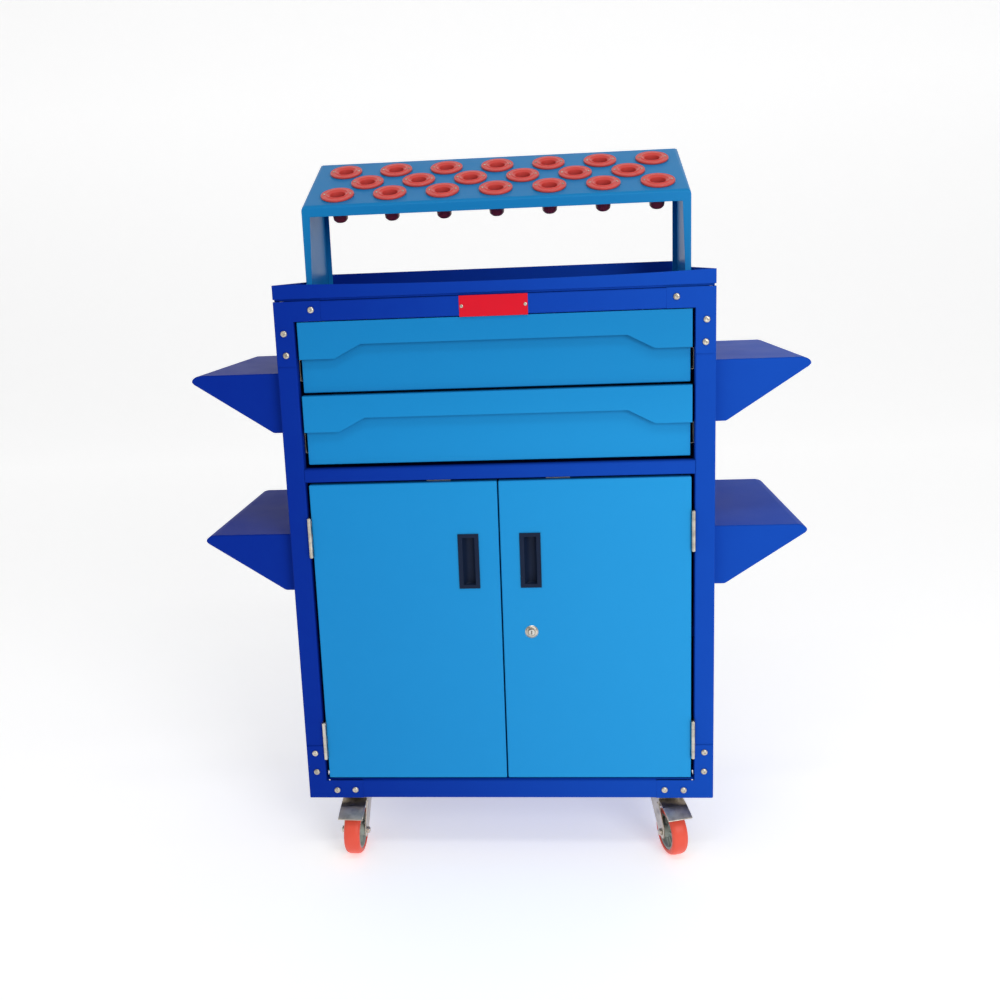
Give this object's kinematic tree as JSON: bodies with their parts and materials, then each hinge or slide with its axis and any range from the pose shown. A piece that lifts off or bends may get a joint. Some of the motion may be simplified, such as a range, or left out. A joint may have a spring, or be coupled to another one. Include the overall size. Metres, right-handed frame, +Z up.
{
  "type": "tool holder trolley",
  "caption": "Sheet-steel cabinet on swivel casters with drawers, hinged doors, a top tray, a sloping rack of taper tool pots and wedge-shaped side brackets.",
  "frame": {"origin": "on the floor under the middle of the cabinet", "axes": "+X to the right and +Y to the back as seen from the doors, +Z up"},
  "size_m": [1.148, 0.5145, 1.3915],
  "materials": {
    "dark_blue_paint": "semi-gloss powder coat",
    "light_blue_paint": "semi-gloss powder coat",
    "zinc_plated_steel": "bright zinc plate",
    "chrome_plate": "polished",
    "white_plastic": "matte",
    "red_plate": "satin red enamel",
    "red_plastic": "smooth moulded",
    "navy_plastic": "fine-grained moulded",
    "red_polyurethane": "smooth polyurethane tread",
    "grey_plastic": "moulded wheel centre"
  },
  "bodies": {
    "cabinet": {"front_left_post": "dark_blue_paint", "front_right_post": "dark_blue_paint", "rear_posts": "dark_blue_paint", "top_rail": "dark_blue_paint", "bottom_rail": "dark_blue_paint", "middle_rail": "dark_blue_paint", "corner_gussets": "dark_blue_paint", "frame_screws": "zinc_plated_steel", "left_side_panel": "dark_blue_paint", "right_side_panel": "dark_blue_paint", "back_panel": "dark_blue_paint", "floor_panel": "dark_blue_paint", "divider_panel": "dark_blue_paint", "cupboard_shelf": "dark_blue_paint", "base_channels": "dark_blue_paint", "fixed_runners": "zinc_plated_steel", "hinge_fixed_leaves": "zinc_plated_steel", "hinge_pins": "zinc_plated_steel", "magnetic_catches": "white_plastic", "top_tray": "dark_blue_paint", "upper_left_bracket": "dark_blue_paint", "lower_left_bracket": "dark_blue_paint", "upper_right_bracket": "dark_blue_paint", "lower_right_bracket": "dark_blue_paint", "name_plate": "red_plate", "name_plate_rivets": "zinc_plated_steel", "rack_bridge": "light_blue_paint", "tool_pots": "red_plastic", "pot_screws": "zinc_plated_steel", "caster_top_plates": "zinc_plated_steel", "caster_bolts": "zinc_plated_steel"},
    "drawer_1": {"drawer_1_front": "light_blue_paint", "drawer_1_box": "light_blue_paint", "drawer_1_runners": "zinc_plated_steel"},
    "drawer_2": {"drawer_2_front": "light_blue_paint", "drawer_2_box": "light_blue_paint", "drawer_2_runners": "zinc_plated_steel"},
    "left_door": {"left_door_panel": "light_blue_paint", "left_door_pull": "navy_plastic", "left_door_hinge_leaves": "zinc_plated_steel"},
    "right_door": {"right_door_panel": "light_blue_paint", "right_door_pull": "navy_plastic", "right_door_hinge_leaves": "zinc_plated_steel", "lock_housing": "zinc_plated_steel"},
    "lock_cylinder": {"lock_plug": "chrome_plate", "lock_cam": "zinc_plated_steel"},
    "front_left_caster": {"front_left_caster_fork": "zinc_plated_steel"},
    "front_left_wheel": {"front_left_caster_tyre": "red_polyurethane", "front_left_caster_hub": "grey_plastic"},
    "front_left_pedal": {"front_left_brake_pedal": "zinc_plated_steel"},
    "front_right_caster": {"front_right_caster_fork": "zinc_plated_steel"},
    "front_right_wheel": {"front_right_caster_tyre": "red_polyurethane", "front_right_caster_hub": "grey_plastic"},
    "front_right_pedal": {"front_right_brake_pedal": "zinc_plated_steel"},
    "rear_left_caster": {"rear_left_caster_fork": "zinc_plated_steel"},
    "rear_left_wheel": {"rear_left_caster_tyre": "red_polyurethane", "rear_left_caster_hub": "grey_plastic"},
    "rear_right_caster": {"rear_right_caster_fork": "zinc_plated_steel"},
    "rear_right_wheel": {"rear_right_caster_tyre": "red_polyurethane", "rear_right_caster_hub": "grey_plastic"}
  },
  "joints": [
    {"name": "drawer_1_slide", "type": "slide", "parent": "cabinet", "child": "drawer_1", "axis": [0, -1, 0], "range_m": [0, 0.35]},
    {"name": "drawer_2_slide", "type": "slide", "parent": "cabinet", "child": "drawer_2", "axis": [0, -1, 0], "range_m": [0, 0.35]},
    {"name": "left_door_hinge", "type": "hinge", "parent": "cabinet", "child": "left_door", "pos_m": [-0.36025, -0.22895, 0.465], "axis": [0, 0, -1], "range_deg": [0, 170]},
    {"name": "right_door_hinge", "type": "hinge", "parent": "cabinet", "child": "right_door", "pos_m": [0.36025, -0.22895, 0.465], "axis": [0, 0, 1], "range_deg": [0, 170]},
    {"name": "lock_turn", "type": "hinge", "parent": "right_door", "child": "lock_cylinder", "pos_m": [0.0556, -0.215, 0.4707], "axis": [0, 1, 0], "range_deg": [0, 90]},
    {"name": "front_left_swivel", "type": "hinge", "parent": "cabinet", "child": "front_left_caster", "pos_m": [-0.311, -0.173, 0.115], "axis": [0, 0, 1], "continuous": true},
    {"name": "front_left_roll", "type": "hinge", "parent": "front_left_caster", "child": "front_left_wheel", "pos_m": [-0.31299, -0.21095, 0.046], "axis": [0.9986, -0.0523, 0], "continuous": true},
    {"name": "front_left_brake", "type": "hinge", "parent": "front_left_caster", "child": "front_left_pedal", "pos_m": [-0.31205, -0.19297, 0.098], "axis": [-0.9986, 0.0523, 0], "range_deg": [0, 8]},
    {"name": "front_right_swivel", "type": "hinge", "parent": "cabinet", "child": "front_right_caster", "pos_m": [0.311, -0.173, 0.115], "axis": [0, 0, 1], "continuous": true},
    {"name": "front_right_roll", "type": "hinge", "parent": "front_right_caster", "child": "front_right_wheel", "pos_m": [0.32211, -0.20934, 0.046], "axis": [0.9563, 0.2924, 0], "continuous": true},
    {"name": "front_right_brake", "type": "hinge", "parent": "front_right_caster", "child": "front_right_pedal", "pos_m": [0.31685, -0.19213, 0.098], "axis": [-0.9563, -0.2924, 0], "range_deg": [0, 8]},
    {"name": "rear_left_swivel", "type": "hinge", "parent": "cabinet", "child": "rear_left_caster", "pos_m": [-0.311, 0.173, 0.115], "axis": [0, 0, 1], "continuous": true},
    {"name": "rear_left_roll", "type": "hinge", "parent": "rear_left_caster", "child": "rear_left_wheel", "pos_m": [-0.30506, 0.21053, 0.046], "axis": [-0.9877, 0.1564, 0], "continuous": true},
    {"name": "rear_right_swivel", "type": "hinge", "parent": "cabinet", "child": "rear_right_caster", "pos_m": [0.311, 0.173, 0.115], "axis": [0, 0, 1], "continuous": true},
    {"name": "rear_right_roll", "type": "hinge", "parent": "rear_right_caster", "child": "rear_right_wheel", "pos_m": [0.30181, 0.20987, 0.046], "axis": [-0.9703, -0.2419, 0], "continuous": true}
  ]
}
